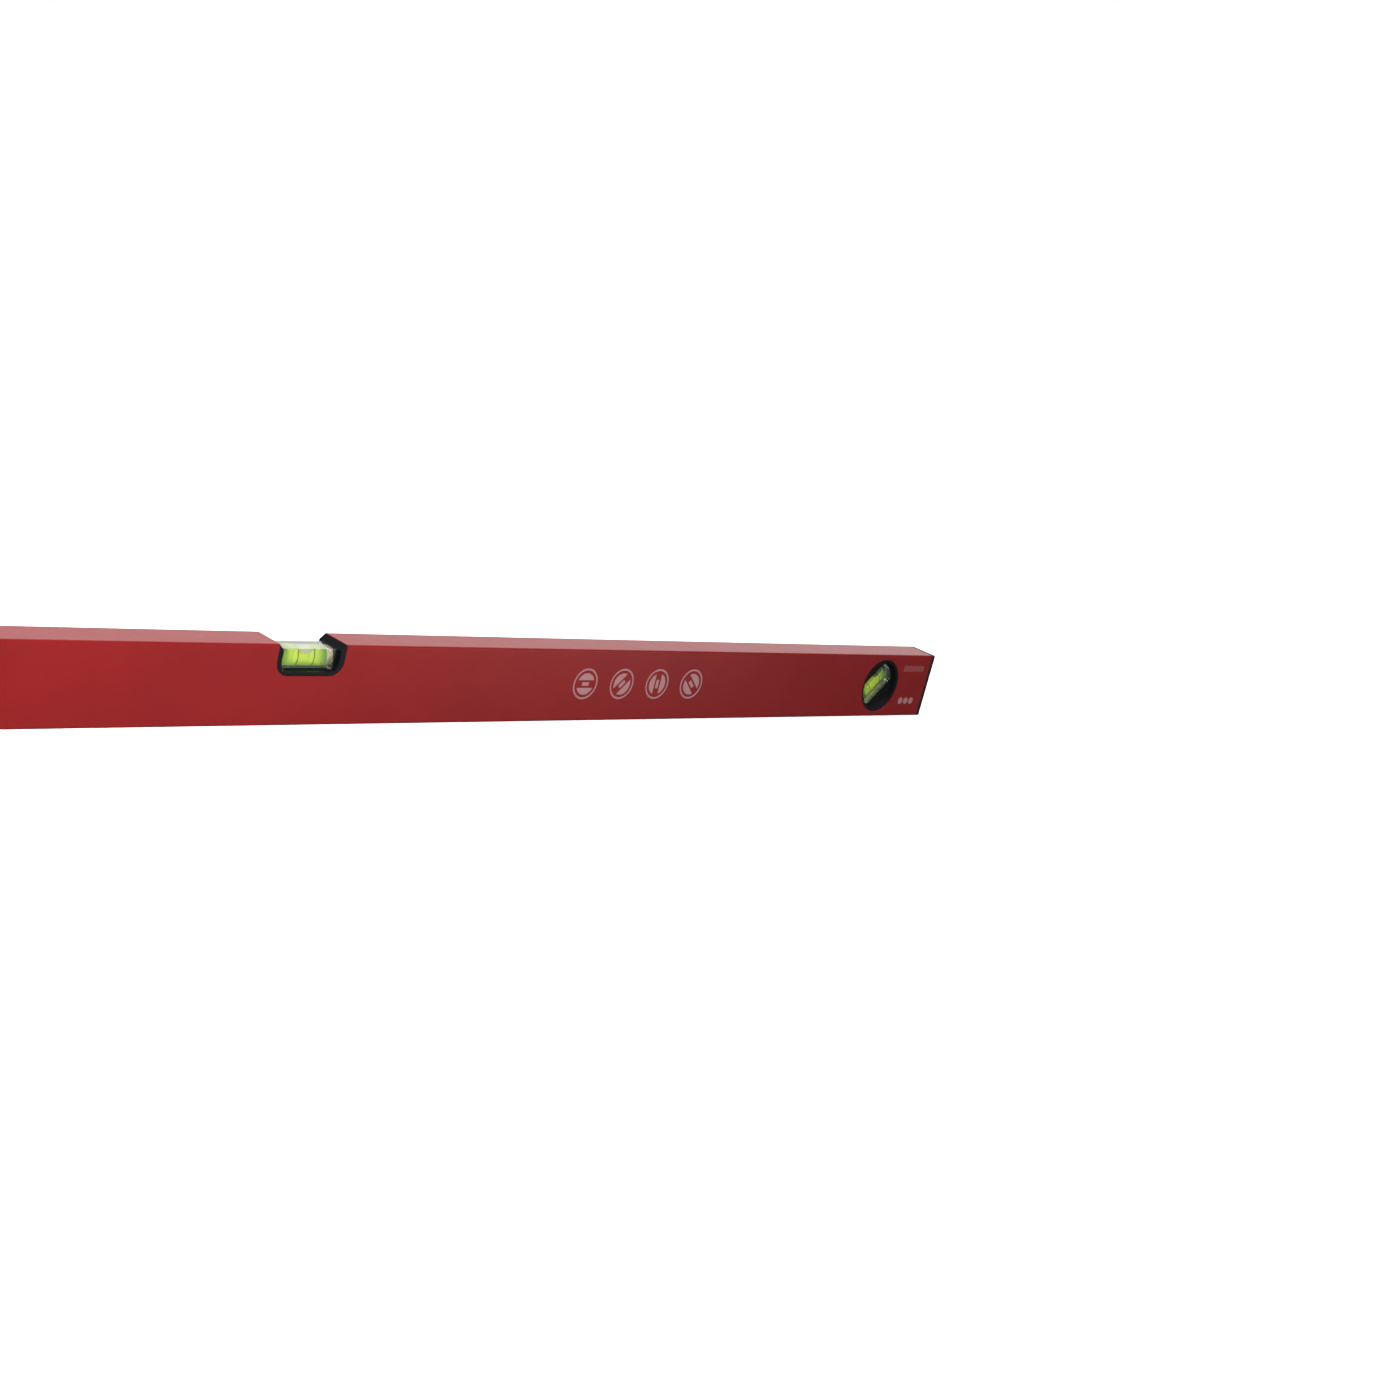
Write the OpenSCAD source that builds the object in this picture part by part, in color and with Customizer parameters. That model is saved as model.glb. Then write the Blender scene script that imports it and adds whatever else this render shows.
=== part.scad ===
// Box-section spirit level with a centre vial, a plumb vial and a 45 degree vial.
// X runs along the level, Y through its thickness (front face at -Y) and Z up from the base face.
// The origin is at the middle of the base face.

/* [Box section] */
// Overall length, over the rubber end pads
level_l = 1200; // [600:50:2000]
// Height of the section, from base face to top face
level_h = 50; // [50:1:56]
// Thickness of the section, from front face to back face
level_w = 24; // [24:1:28]
// Thickness of the front and back walls
side_wall = 2; // [1.6:0.1:2.4]
// Thickness of the base and top walls, left thicker for milling
edge_wall = 2.8; // [2.4:0.1:3.2]
// Thickness of the two inner webs
web_t = 1.6; // [1.2:0.1:1.8]
// Radius of the section's four outer corners
corner_r = 1.2; // [0.8:0.1:1.5]

/* [Centre vial] */
// Length of the notch in the top of the section
notch_l = 48; // [48:1:60]
// Depth of the notch below the top face
notch_d = 19.5; // [19:0.5:20]
// Radius of the notch's two lower corners
notch_r = 9; // [8:0.5:9]
// Thickness of the holder's wall at each end of the notch
holder_wall = 3.6; // [3:0.1:4]
// Length of the clear vial block
centre_block_l = 38.8; // [36:0.2:38.8]
// Length of the bore in the centre vial block
centre_bore_l = 30; // [28:0.5:30]

/* [End vials] */
// Distance from each end of the level to the middle of the end vial
end_vial_x = 60; // [50:1:90]
// Outer radius of the round housing
housing_r = 21; // [20.5:0.1:21.5]
// Radius of the round opening in the housing's face
opening_r = 18; // [17.5:0.1:18.3]
// Width of the clear vial block, across its bore
end_block_w = 19.6; // [16:0.2:20]
// Length of the bore in each end vial block
end_bore_l = 25; // [23:0.5:26]
// Tilt of the right-hand vial from the level's length, in degrees
angle_tilt = 45; // [30:1:60]

/* [Bubbles and rings] */
// Radius of the bore in each vial block
bore_r = 5; // [4.6:0.1:5]
// Length of an air bubble
bubble_l = 10; // [8:0.5:11]
// Width of one marking ring, along the bore
ring_w = 0.6; // [0.4:0.1:0.8]
// Thickness of one marking ring
ring_t = 0.25; // [0.2:0.05:0.3]

/* [End caps] */
// Thickness of the end cap's flange
flange_t = 3.5; // [3:0.5:5]
// Length of the tongues that the cap pushes into the section
tongue_l = 18; // [12:1:24]
// How far the rubber pad stands out of the flange
pad_proud = 0.5; // [0.3:0.1:1]

/* [Hidden] */
$fn = 96;

paint_red = [0.61, 0.16, 0.16];
plastic_black = [0.07, 0.07, 0.08];
rubber_black = [0.12, 0.12, 0.12];
acrylic_clear = [0.85, 0.92, 0.75, 0.5];
plug_beige = [0.75, 0.75, 0.6];
fluid_green = [0.7, 0.86, 0.28];
bubble_grey = [0.8, 0.82, 0.74];

half_l = level_l / 2;
half_w = level_w / 2;
through = level_w + 2;             // long enough to cut from face to face
past = 1;                          // how far a cutting shape runs past a face
mid_h = level_h / 2;

// Box section
cap_outer_x = half_l - pad_proud;  // the flange's outer face
section_half_l = cap_outer_x - flange_t;
web_low_z = 15;
web_high_z = 29;

// Parts that fill a hole in the section sit this far below its faces
face_recess = 0.3;
seat_y = half_w - face_recess;

// Centre holder: a recess in each face, then a ledge, then a lip that keeps the block in
notch_z = level_h - notch_d;
holder_top_z = level_h - face_recess;
window_half_l = notch_l / 2 - holder_wall;
window_z = notch_z + 2.5;
window_r = 6;
window_depth = 3.2;
lip = 0.5;
block_half_w = seat_y - window_depth - lip;
centre_block_z = window_z + 0.1;
centre_block_top_z = holder_top_z - holder_wall - 0.1;
centre_bore_z = centre_block_top_z - 1.4 - bore_r;
block_edge_r = 1;

// End vial housings
opening_depth = 4.3;
floor_y = seat_y - opening_depth;
end_block_half_w = floor_y - 0.4;
end_block_r = opening_r - 0.3;
housing_lip = 0.8;
shell_wall = 1.8;
shell_depth = floor_y - shell_wall;

// Locating pegs that join the two halves of a housing or holder
peg_clearance = 0.1;
housing_peg_r = 1.2;
housing_peg_l = 3;
housing_peg_at = 14.5;
holder_peg_r = 0.8;
holder_peg_l = 2.5;
holder_peg_x = (notch_l / 2 + centre_block_l / 2) / 2;
holder_peg_z = 42;

// Vial cores
plug_r = bore_r + 0.2;
end_plug_l = 3.6;
bubble_gap = 0.35;                 // clear space round a bubble, so that it slides free
bubble_r = bore_r - ring_t - bubble_gap;
bubble_low_z = 1.6;
bubble_end_r = bubble_l * 0.36;
ring_at = bubble_l / 2 + 0.8;
centre_travel = centre_bore_l / 2 - bubble_l / 2 - bubble_gap;
end_rest_x = end_bore_l / 2 - bubble_l / 2 - bubble_gap;

// Placement of the three vials: X along the bore, Z towards the side where the bubble rides
module at_centre() { translate([0, 0, centre_bore_z]) children(); }
module at_plumb() { translate([-half_l + end_vial_x, 0, mid_h]) rotate([0, -90, 0]) children(); }
module at_angle() { translate([half_l - end_vial_x, 0, mid_h]) rotate([0, -angle_tilt, 0]) children(); }

// A cylinder along X, centred on the origin
module rod_x(r, l) { rotate([0, 90, 0]) cylinder(r = r, h = l, center = true); }

// A cylinder along Y from y = 0 to y = l
module rod_y(r, l) { rotate([-90, 0, 0]) cylinder(r = r, h = l); }

// Stands a flat XZ outline up and extrudes it from y = from to y = to
module slab_y(from, to) { translate([0, to, 0]) rotate([90, 0, 0]) linear_extrude(to - from) children(); }

// A rectangle with four rounded corners, centred on the origin
module round_rect(w, h, r) {
  square([w - 2 * r, h], center = true);
  square([w, h - 2 * r], center = true);
  for (x = [-1, 1], y = [-1, 1]) translate([x * (w / 2 - r), y * (h / 2 - r)]) circle(r);
}

// A slot open at the top, with its two lower corners rounded
module u_outline(half, bottom, top, r) {
  translate([-half, bottom + r]) square([2 * half, top - bottom - r]);
  translate([-half + r, bottom]) square([2 * (half - r), 2 * r]);
  for (side = [-1, 1]) translate([side * (half - r), bottom + r]) circle(r);
}

module notch_outline(top) { u_outline(notch_l / 2, notch_z, top, notch_r); }

// Box section ------------------------------------------------------------------------------------

// The three hollow chambers of the section: low and high ends of each
chambers = [
  [edge_wall, web_low_z - web_t / 2],
  [web_low_z + web_t / 2, web_high_z - web_t / 2],
  [web_high_z + web_t / 2, level_h - edge_wall]
];

module section_outline() { translate([0, mid_h]) round_rect(level_w, level_h, corner_r); }

module profile() {
  chamber_w = level_w - 2 * side_wall;
  color(paint_red) difference() {
    rotate([90, 0, 90]) translate([0, 0, -section_half_l]) linear_extrude(2 * section_half_l)
      difference() {
        section_outline();
        for (c = chambers) translate([-chamber_w / 2, c[0]]) square([chamber_w, c[1] - c[0]]);
      }
    slab_y(-through / 2, through / 2) notch_outline(level_h + past);
    for (side = [-1, 1])
      translate([side * (half_l - end_vial_x), -through / 2, mid_h]) rod_y(housing_r, through);
  }
}

// End caps ---------------------------------------------------------------------------------------

pad_w = level_w - 10;
pad_h = level_h - 14;
pad_sink = 1.5;
tongue_gap = 0.05;
tongue_wall = 1.6;

module pad_outline() { translate([0, mid_h]) round_rect(pad_w, pad_h, pad_w / 2 - past); }

// One hollow tongue for each chamber of the section, with a crush rib on its front and back
module tongues() {
  tongue_w = level_w - 2 * side_wall - 2 * tongue_gap;
  rib_w = 1.5;
  for (c = chambers) {
    tongue_h = c[1] - c[0] - 2 * tongue_gap;
    translate([0, 0, (c[0] + c[1]) / 2]) {
      rotate([0, 90, 0]) linear_extrude(tongue_l, center = true) difference() {
        square([tongue_h, tongue_w], center = true);
        square([tongue_h - 2 * tongue_wall, tongue_w - 2 * tongue_wall], center = true);
      }
      for (side = [-1, 1])
        translate([-tongue_l / 2, side * tongue_w / 2 - tongue_gap, -rib_w / 2])
          cube([tongue_l * 0.7, 2 * tongue_gap, rib_w]);
    }
  }
}

// The right-hand cap; the left-hand one is its mirror image
module end_cap() {
  color(plastic_black) {
    difference() {
      translate([section_half_l, 0, 0]) rotate([90, 0, 90]) linear_extrude(flange_t) section_outline();
      translate([cap_outer_x - pad_sink, 0, 0]) rotate([90, 0, 90])
        linear_extrude(pad_sink + past) pad_outline();
    }
    translate([section_half_l - tongue_l / 2, 0, 0]) tongues();
  }
}

module end_pad() {
  groove_w = 1.6;
  grooves = 3;
  color(rubber_black) difference() {
    translate([cap_outer_x - pad_sink, 0, 0]) rotate([90, 0, 90])
      linear_extrude(pad_sink + pad_proud) pad_outline();
    for (i = [1:grooves]) {
      groove_z = mid_h - pad_h / 2 + i * pad_h / (grooves + 1) - groove_w / 2;
      translate([cap_outer_x, -pad_w / 2 - past, groove_z])
        cube([pad_proud + past, pad_w + 2 * past, groove_w]);
    }
  }
}

module end_cap_right() { end_cap(); }
module end_cap_left() { mirror([1, 0, 0]) end_cap(); }
module end_pad_right() { end_pad(); }
module end_pad_left() { mirror([1, 0, 0]) end_pad(); }

// Centre holder ----------------------------------------------------------------------------------

// Cuts the holder's top down at 45 degrees on each side, so that the vial is seen from above
module holder_outline() {
  difference() {
    notch_outline(holder_top_z);
    polygon([
      [-notch_l / 2, holder_top_z + past], [-notch_l / 2, holder_top_z],
      [-window_half_l, holder_top_z - holder_wall], [window_half_l, holder_top_z - holder_wall],
      [notch_l / 2, holder_top_z], [notch_l / 2, holder_top_z + past]
    ]);
  }
}

module centre_block_outline() {
  h = centre_block_top_z - centre_block_z;
  translate([0, centre_block_z + h / 2]) round_rect(centre_block_l, h, block_edge_r);
}

// The back half of the holder, from y = 0 outwards
module holder_half() {
  difference() {
    slab_y(0, seat_y) holder_outline();
    slab_y(seat_y - window_depth, seat_y + past) u_outline(window_half_l, window_z, level_h, window_r);
    slab_y(-past, block_half_w) translate([-centre_block_l / 2, centre_block_z])
      square([centre_block_l, notch_d]);
    slab_y(0, seat_y) translate([-centre_block_l / 2 + lip, centre_block_z + lip])
      square([centre_block_l - 2 * lip, notch_d]);
  }
}

module holder_pegs(r, l) {
  for (side = [-1, 1]) translate([side * holder_peg_x, 0, holder_peg_z]) rod_y(r, l);
}

module centre_holder_front() {
  color(plastic_black) {
    mirror([0, 1, 0]) holder_half();
    holder_pegs(holder_peg_r, holder_peg_l);
  }
}

module centre_holder_back() {
  color(plastic_black) difference() {
    holder_half();
    translate([0, -past, 0]) holder_pegs(holder_peg_r + peg_clearance, holder_peg_l + 2 * past);
  }
}

// Vial cores, each along X with the bore's middle at the origin ---------------------------------------

// Two marking rings against the bore's wall, one at each end of the centred bubble
module rings() {
  for (side = [-1, 1]) translate([side * ring_at, 0, 0]) difference() {
    rod_x(bore_r, ring_w);
    rod_x(bore_r - ring_t, ring_w + past);
  }
}

// An air bubble: the upper part of the bore's round, with rounded ends
module bubble_body() {
  intersection() {
    rod_x(bubble_r, bubble_l + past);
    translate([0, 0, bubble_low_z]) linear_extrude(bore_r) union() {
      for (side = [-1, 1]) translate([side * (bubble_l / 2 - bubble_end_r), 0]) circle(bubble_end_r);
      square([bubble_l - 2 * bubble_end_r, 2 * bubble_end_r], center = true);
    }
  }
}

// The liquid, with a channel along the upper side where the bubble travels from x = low to x = high
module fluid_body(bore_l, low, high) {
  difference() {
    rod_x(bore_r, bore_l);
    rings();
    translate([low - bubble_l / 2 - bubble_gap, -bore_r, bubble_low_z - bubble_gap])
      cube([high - low + bubble_l + 2 * bubble_gap, 2 * bore_r, bore_r]);
  }
}

// Centre vial ------------------------------------------------------------------------------------

centre_plug_l = (centre_block_l - centre_bore_l) / 2;

module centre_vial_block() {
  color(acrylic_clear) difference() {
    slab_y(-block_half_w, block_half_w) centre_block_outline();
    at_centre() {
      rod_x(bore_r, centre_bore_l);
      translate([centre_bore_l / 2 + centre_plug_l / 2 + past / 2, 0, 0]) rod_x(plug_r, centre_plug_l + past);
    }
  }
}

module centre_vial_plug() {
  color(plug_beige) at_centre()
    translate([centre_bore_l / 2 + centre_plug_l / 2, 0, 0]) rod_x(plug_r, centre_plug_l);
}

module centre_vial_rings() { color(plastic_black) at_centre() rings(); }

module centre_vial_fluid() {
  color(fluid_green) at_centre() fluid_body(centre_bore_l, -centre_travel, centre_travel);
}

module centre_vial_bubble() { color(bubble_grey) at_centre() bubble_body(); }

// End vials --------------------------------------------------------------------------------------

// The vial block's outline: a bar clipped to the round of the housing's opening
module end_block_outline(w, r) {
  intersection() {
    square([2 * r, w], center = true);
    circle(r);
  }
}

module housing_pegs(r, l) {
  for (side = [-1, 1]) translate([0, 0, side * housing_peg_at]) rod_y(r, l);
}

// The back half of a round housing, from y = 0 outwards: a rim, a sunk floor and walls round the block
module housing_half() {
  rim_slope = 0.8;
  difference() {
    rod_y(housing_r, seat_y);
    translate([0, floor_y, 0]) rotate([-90, 0, 0])
      cylinder(r1 = opening_r, r2 = opening_r + rim_slope, h = opening_depth);
    slab_y(-past, end_block_half_w) end_block_outline(end_block_w, end_block_r);
    slab_y(0, seat_y) end_block_outline(end_block_w - 2 * housing_lip, end_block_r - housing_lip);
    difference() {
      translate([0, -past, 0]) rod_y(housing_r - shell_wall, shell_depth + past);
      translate([-housing_r, -2 * past, -end_block_w / 2 - shell_wall])
        cube([2 * housing_r, level_w, end_block_w + 2 * shell_wall]);
      translate([0, -2 * past, 0]) housing_pegs(2 * housing_peg_r, level_w);
    }
  }
}

module housing_front() {
  color(plastic_black) {
    mirror([0, 1, 0]) housing_half();
    housing_pegs(housing_peg_r, housing_peg_l);
  }
}

module housing_back() {
  color(plastic_black) difference() {
    housing_half();
    translate([0, -past, 0]) housing_pegs(housing_peg_r + peg_clearance, housing_peg_l + 2 * past);
  }
}

module end_block() {
  plug_hole_l = end_block_r;       // opens the bore at the block's round end
  color(acrylic_clear) difference() {
    slab_y(-end_block_half_w, end_block_half_w) end_block_outline(end_block_w, end_block_r);
    rod_x(bore_r, end_bore_l);
    translate([-end_bore_l / 2 - plug_hole_l / 2, 0, 0]) rod_x(plug_r, plug_hole_l);
  }
}

module end_plug() {
  color(plug_beige) translate([-end_bore_l / 2 - end_plug_l / 2, 0, 0]) rod_x(plug_r, end_plug_l);
}

module end_fluid() { color(fluid_green) fluid_body(end_bore_l, -end_rest_x, end_rest_x); }

module end_bubble() { color(bubble_grey) translate([end_rest_x, 0, 0]) bubble_body(); }

module plumb_housing_front() { at_plumb() housing_front(); }
module plumb_housing_back() { at_plumb() housing_back(); }
module plumb_vial_block() { at_plumb() end_block(); }
module plumb_vial_plug() { at_plumb() end_plug(); }
module plumb_vial_rings() { color(plastic_black) at_plumb() rings(); }
module plumb_vial_fluid() { at_plumb() end_fluid(); }
module plumb_vial_bubble() { at_plumb() end_bubble(); }

module angle_housing_front() { at_angle() housing_front(); }
module angle_housing_back() { at_angle() housing_back(); }
module angle_vial_block() { at_angle() end_block(); }
module angle_vial_plug() { at_angle() end_plug(); }
module angle_vial_rings() { color(plastic_black) at_angle() rings(); }
module angle_vial_fluid() { at_angle() end_fluid(); }
module angle_vial_bubble() { at_angle() end_bubble(); }

profile();
end_cap_left();
end_cap_right();
end_pad_left();
end_pad_right();
centre_holder_front();
centre_holder_back();
centre_vial_block();
centre_vial_plug();
centre_vial_rings();
centre_vial_fluid();
centre_vial_bubble();
plumb_housing_front();
plumb_housing_back();
plumb_vial_block();
plumb_vial_plug();
plumb_vial_rings();
plumb_vial_fluid();
plumb_vial_bubble();
angle_housing_front();
angle_housing_back();
angle_vial_block();
angle_vial_plug();
angle_vial_rings();
angle_vial_fluid();
angle_vial_bubble();
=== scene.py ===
"""Finishes a box-section spirit level: its painted section, end caps, vial holders, vials and printed marks.

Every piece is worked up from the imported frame, in metres, with X along the level, Y through it and Z up.
"""

from __future__ import annotations

import logging
import math
from dataclasses import dataclass
from enum import Enum
from typing import Any, ClassVar, Protocol, Sequence

import bmesh
import bpy
from mathutils import Matrix, Vector


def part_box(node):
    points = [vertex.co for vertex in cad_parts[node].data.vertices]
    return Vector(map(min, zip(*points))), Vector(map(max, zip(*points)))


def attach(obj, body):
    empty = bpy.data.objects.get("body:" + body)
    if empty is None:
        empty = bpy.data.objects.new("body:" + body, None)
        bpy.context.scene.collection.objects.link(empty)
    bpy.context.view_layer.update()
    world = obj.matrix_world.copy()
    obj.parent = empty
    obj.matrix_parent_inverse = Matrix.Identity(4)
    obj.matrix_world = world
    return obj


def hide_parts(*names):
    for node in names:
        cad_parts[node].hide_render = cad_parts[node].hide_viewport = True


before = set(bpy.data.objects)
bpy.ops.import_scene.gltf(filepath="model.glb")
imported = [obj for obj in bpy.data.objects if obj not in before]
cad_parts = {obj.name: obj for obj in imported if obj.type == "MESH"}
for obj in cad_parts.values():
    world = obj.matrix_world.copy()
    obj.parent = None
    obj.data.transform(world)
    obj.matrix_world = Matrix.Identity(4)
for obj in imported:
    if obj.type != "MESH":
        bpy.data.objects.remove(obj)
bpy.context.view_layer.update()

log = logging.getLogger("spirit_level")
logging.basicConfig(level=logging.INFO, format="%(name)s: %(message)s")

MM = 0.001
LEVEL = "level"
WELD = 0.002 * MM
SLIVER = 0.0005 * MM
FLAT_ANGLE = 0.5
FLAT_WEIGHT = 60

Colour = tuple[float, float, float]
Point = tuple[float, float, float]
Outline = Sequence[tuple[float, float]]


# Shader building ------------------------------------------------------------------------------------------


class Sock:
    """A value in a tree of nodes. Arithmetic on it adds the Math nodes that work it out."""

    def __init__(self, net: "Net", socket: bpy.types.NodeSocket) -> None:
        """Wraps a socket of a tree."""
        self.net = net
        self.socket = socket

    def _math(self, operation: str, *values: Any) -> "Sock":
        """Adds one Math node and returns its result."""
        return self.net.node("ShaderNodeMath", {"operation": operation}, dict(enumerate(values))).out()

    def __add__(self, other: Any) -> "Sock":
        """self + other."""
        return self._math("ADD", self, other)

    def __radd__(self, other: Any) -> "Sock":
        """other + self."""
        return self._math("ADD", other, self)

    def __sub__(self, other: Any) -> "Sock":
        """self - other."""
        return self._math("SUBTRACT", self, other)

    def __rsub__(self, other: Any) -> "Sock":
        """other - self."""
        return self._math("SUBTRACT", other, self)

    def __mul__(self, other: Any) -> "Sock":
        """self * other."""
        return self._math("MULTIPLY", self, other)

    def __neg__(self) -> "Sock":
        """The value with its sign turned round."""
        return self._math("MULTIPLY", self, -1.0)

    def abs(self) -> "Sock":
        """The value without its sign."""
        return self._math("ABSOLUTE", self)

    def max(self, other: Any) -> "Sock":
        """The larger of two values."""
        return self._math("MAXIMUM", self, other)

    def ramp(self, low: float, high: float) -> "Sock":
        """A smooth step.

        Args:
            low: The value at which the result is 0.
            high: The value at which the result is 1. It may be under low, for a step down.

        Returns:
            A value from 0 to 1.
        """
        turned = self if high > low else -self
        low, high = (low, high) if high > low else (-low, -high)
        settings = {"interpolation_type": "SMOOTHSTEP", "clamp": True}
        values = {"Value": turned, "From Min": low, "From Max": high, "To Min": 0.0, "To Max": 1.0}
        return self.net.node("ShaderNodeMapRange", settings, values).out("Result")


class Node:
    """A node that has been added to a tree, with its outputs by name."""

    def __init__(self, net: "Net", node: bpy.types.Node) -> None:
        """Keeps the node with the tree that it belongs to."""
        self.net = net
        self.node = node

    def out(self, name: str | int = 0) -> Sock:
        """One output, by name or place."""
        return Sock(self.net, self.node.outputs[name])


class Net:
    """A tree of shader nodes, with one method that adds any node."""

    def __init__(self, tree: bpy.types.NodeTree) -> None:
        """Takes over a tree and empties it."""
        self.tree = tree
        tree.nodes.clear()

    def node(self, kind: str, settings: dict[str, Any], values: dict[str | int, Any]) -> Node:
        """Adds a node.

        Args:
            kind: The node's type.
            settings: Its properties, such as a Math node's operation, which are set first.
            values: A value or a Sock for each input, by name or place.

        Returns:
            The new node.
        """
        made = self.tree.nodes.new(kind)
        for key, value in settings.items():
            setattr(made, key, value)
        for key, value in values.items():
            self.feed(made.inputs[key], value)
        return Node(self, made)

    def feed(self, target: bpy.types.NodeSocket, value: Any) -> None:
        """Links a Sock to an input, or sets the input's own value.

        Args:
            target: The input.
            value: A Sock, or a plain value of the input's type.
        """
        if isinstance(value, Sock):
            self.tree.links.new(value.socket, target)
        else:
            target.default_value = value

    def axes(self, vector: Sock) -> tuple[Sock, Sock, Sock]:
        """The three parts of a vector."""
        split = self.node("ShaderNodeSeparateXYZ", {}, {0: vector})
        return split.out("X"), split.out("Y"), split.out("Z")

    def mix(self, factor: Any, low: Any, high: Any) -> Sock:
        """A colour between two colours.

        Args:
            factor: 0 for the first colour and 1 for the second.
            low: The first colour, plain or a Sock.
            high: The second colour, plain or a Sock.

        Returns:
            The colour.
        """
        made = self.node("ShaderNodeMix", {"data_type": "RGBA"}, {"Factor": factor})
        for name, value in (("A", low), ("B", high)):
            target = next(i for i in made.node.inputs if i.name == name and i.type == "RGBA")
            self.feed(target, value if isinstance(value, Sock) else (*value, 1.0))
        return Sock(self, next(o for o in made.node.outputs if o.type == "RGBA"))


class Shader(Net):
    """A material under construction."""

    def __init__(self, name: str) -> None:
        """Starts a material that has only a surface.

        Args:
            name: The material's name.
        """
        self.material = bpy.data.materials.new(name)
        self.material.use_nodes = True
        super().__init__(self.material.node_tree)
        self.surface = self.node("ShaderNodeBsdfPrincipled", {}, {})
        self.node("ShaderNodeOutputMaterial", {}, {"Surface": self.surface.out("BSDF")})

    def set(self, **values: Any) -> None:
        """Sets or links inputs of the surface, with underscores for the spaces in their names."""
        for key, value in values.items():
            self.feed(self.surface.node.inputs[key.replace("_", " ")], value)

    def place(self) -> Sock:
        """The point on the object, in metres."""
        return self.node("ShaderNodeTexCoord", {}, {}).out("Object")

    def seated(self, seat: "Seat") -> Sock:
        """The point in a vial's own axes, with X along the bore and Z to the bubble's side.

        Args:
            seat: Where the vial sits.

        Returns:
            The point, in metres.
        """
        turn = (0.0, -math.radians(seat.tilt), 0.0)
        values = {"Vector": self.place(), "Location": seat.centre, "Rotation": turn}
        return self.node("ShaderNodeMapping", {"vector_type": "TEXTURE"}, values).out("Vector")

    def facing(self) -> tuple[Sock, Sock, Sock]:
        """The three parts of the surface's own direction."""
        return self.axes(self.node("ShaderNodeNewGeometry", {}, {}).out("True Normal"))

    def scaled(self, vector: Sock, x: float, y: float, z: float) -> Sock:
        """A vector with each part multiplied, to stretch a pattern."""
        values = {0: vector, 1: (x, y, z)}
        return self.node("ShaderNodeVectorMath", {"operation": "MULTIPLY"}, values).out("Vector")

    def noise(self, vector: Sock, scale: float, detail: float = 2.0, rough: float = 0.5) -> Sock:
        """Soft noise.

        Args:
            vector: Where it is sampled.
            scale: How many cells there are in a metre.
            detail: How many finer layers are added.
            rough: How strong each finer layer is.

        Returns:
            A value from 0 to 1.
        """
        values = {"Vector": vector, "Scale": scale, "Detail": detail, "Roughness": rough}
        return self.node("ShaderNodeTexNoise", {}, values).out(0)

    def bump(self, height: Sock, depth: float, strength: float = 1.0) -> Sock:
        """A normal from a height.

        Args:
            height: The height, from 0 to 1.
            depth: How deep the relief is, in metres.
            strength: How much of it shows.

        Returns:
            The normal.
        """
        values = {"Height": height, "Distance": depth, "Strength": strength}
        return self.node("ShaderNodeBump", {}, values).out("Normal")


# Finishes -------------------------------------------------------------------------------------------------


@dataclass(frozen=True)
class Seat:
    """Where a vial sits, and the angle of its bore from the level's length in degrees."""

    name: str
    centre: Point
    tilt: float


class Finish(Protocol):
    """What a piece is made of: the record's slot, and how its material is built."""

    slot: str

    def build(self) -> bpy.types.Material:
        """Makes the material."""


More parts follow.
